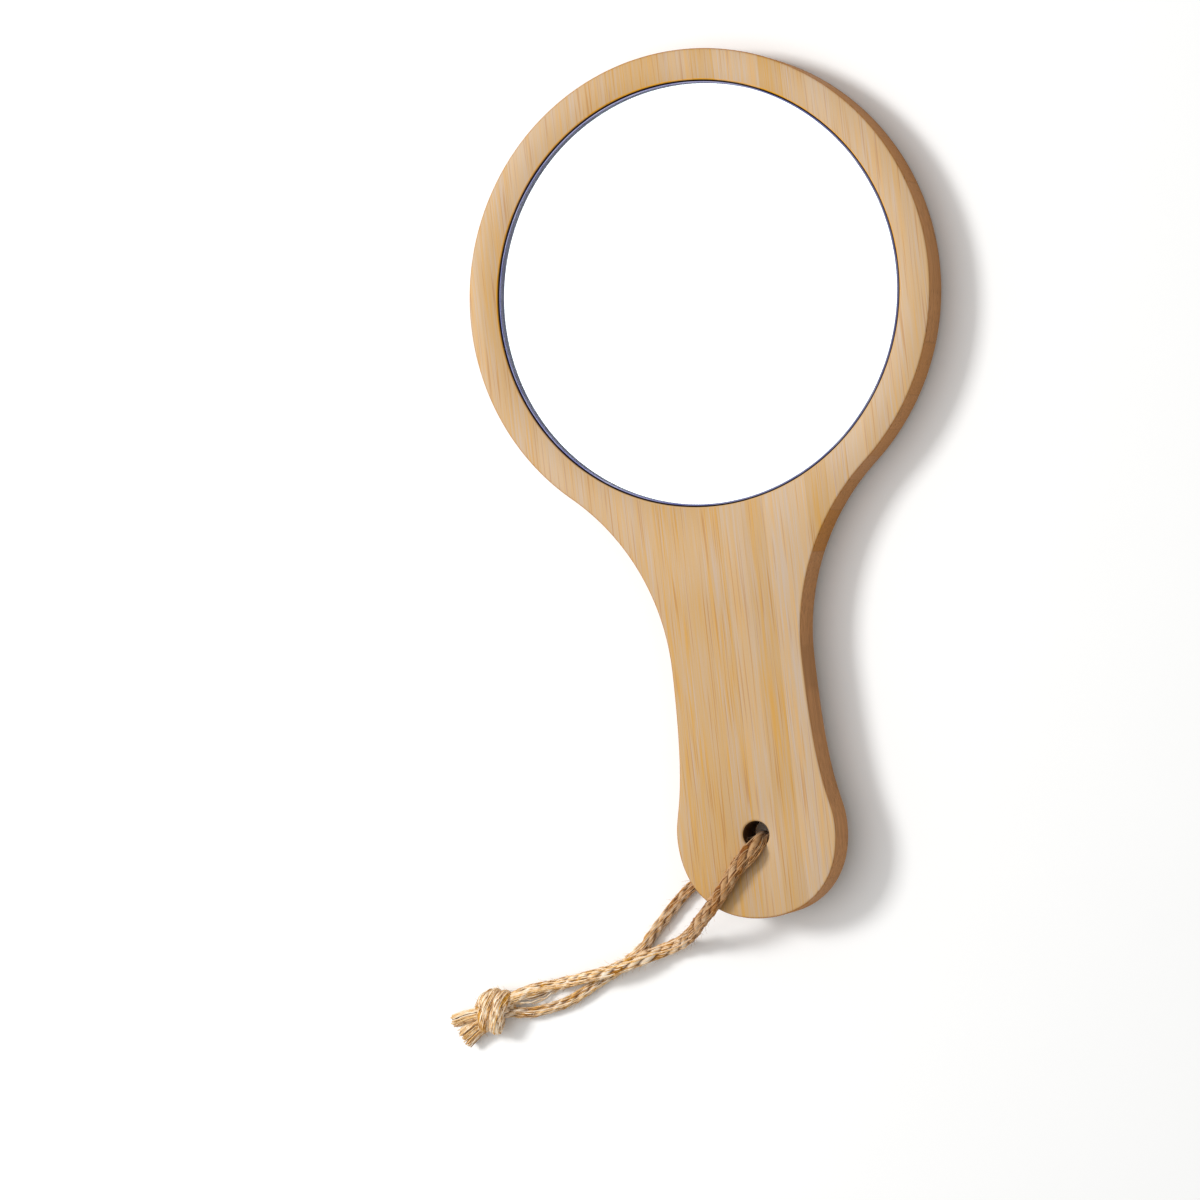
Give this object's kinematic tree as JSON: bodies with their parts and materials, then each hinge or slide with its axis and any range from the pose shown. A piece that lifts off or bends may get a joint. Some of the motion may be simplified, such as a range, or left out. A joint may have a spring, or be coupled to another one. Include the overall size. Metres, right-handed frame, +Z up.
{
  "type": "hand mirror",
  "caption": "Round hand mirror: bamboo paddle of glued strips, round glass in a milled recess, and a knotted twine loop through the handle.",
  "frame": {"origin": "on the table under the middle of the paddle's footprint (twine left out): the mirror lies on its back, tipped up 1.2 degrees at the handle by the strand of twine under it", "axes": "+Y from the handle to the top of the head, +X to the right seen with the glass up, +Z up out of the glass"},
  "size_m": [0.1476, 0.2369, 0.018],
  "materials": {
    "bamboo": "satin lacquered, side-pressed bamboo strips",
    "glass": "polished float glass with a seamed edge",
    "silver": "silvered, painted behind",
    "foam_tape": "double-sided foam tape",
    "jute": "hairy twisted jute twine"
  },
  "bodies": {
    "paddle": {"core_strip_1": "bamboo", "core_strip_2": "bamboo", "core_strip_3": "bamboo", "core_strip_4": "bamboo", "core_strip_5": "bamboo", "core_strip_6": "bamboo", "left_strip_1": "bamboo", "left_strip_2": "bamboo", "left_strip_3": "bamboo", "left_strip_4": "bamboo", "left_strip_5": "bamboo", "left_strip_6": "bamboo", "left_strip_7": "bamboo", "left_strip_8": "bamboo", "right_strip_1": "bamboo", "right_strip_2": "bamboo", "right_strip_3": "bamboo", "right_strip_4": "bamboo", "right_strip_5": "bamboo", "right_strip_6": "bamboo", "right_strip_7": "bamboo", "right_strip_8": "bamboo", "left_grip_strip_1": "bamboo", "right_grip_strip_1": "bamboo", "mirror_glass": "glass", "silver_backing": "silver", "tape_left": "foam_tape", "tape_middle": "foam_tape", "tape_right": "foam_tape"},
    "twine_loop": {"twine_front_strand": "jute", "twine_back_strand": "jute", "twine_knot": "jute", "twine_tail_left": "jute", "twine_tail_right": "jute"}
  },
  "joints": [
    {"name": "loop_swing", "type": "hinge", "parent": "paddle", "child": "twine_loop", "pos_m": [0, -0.08423, 0.0088], "axis": [0, 0, 1], "range_deg": [-25, 80]}
  ]
}
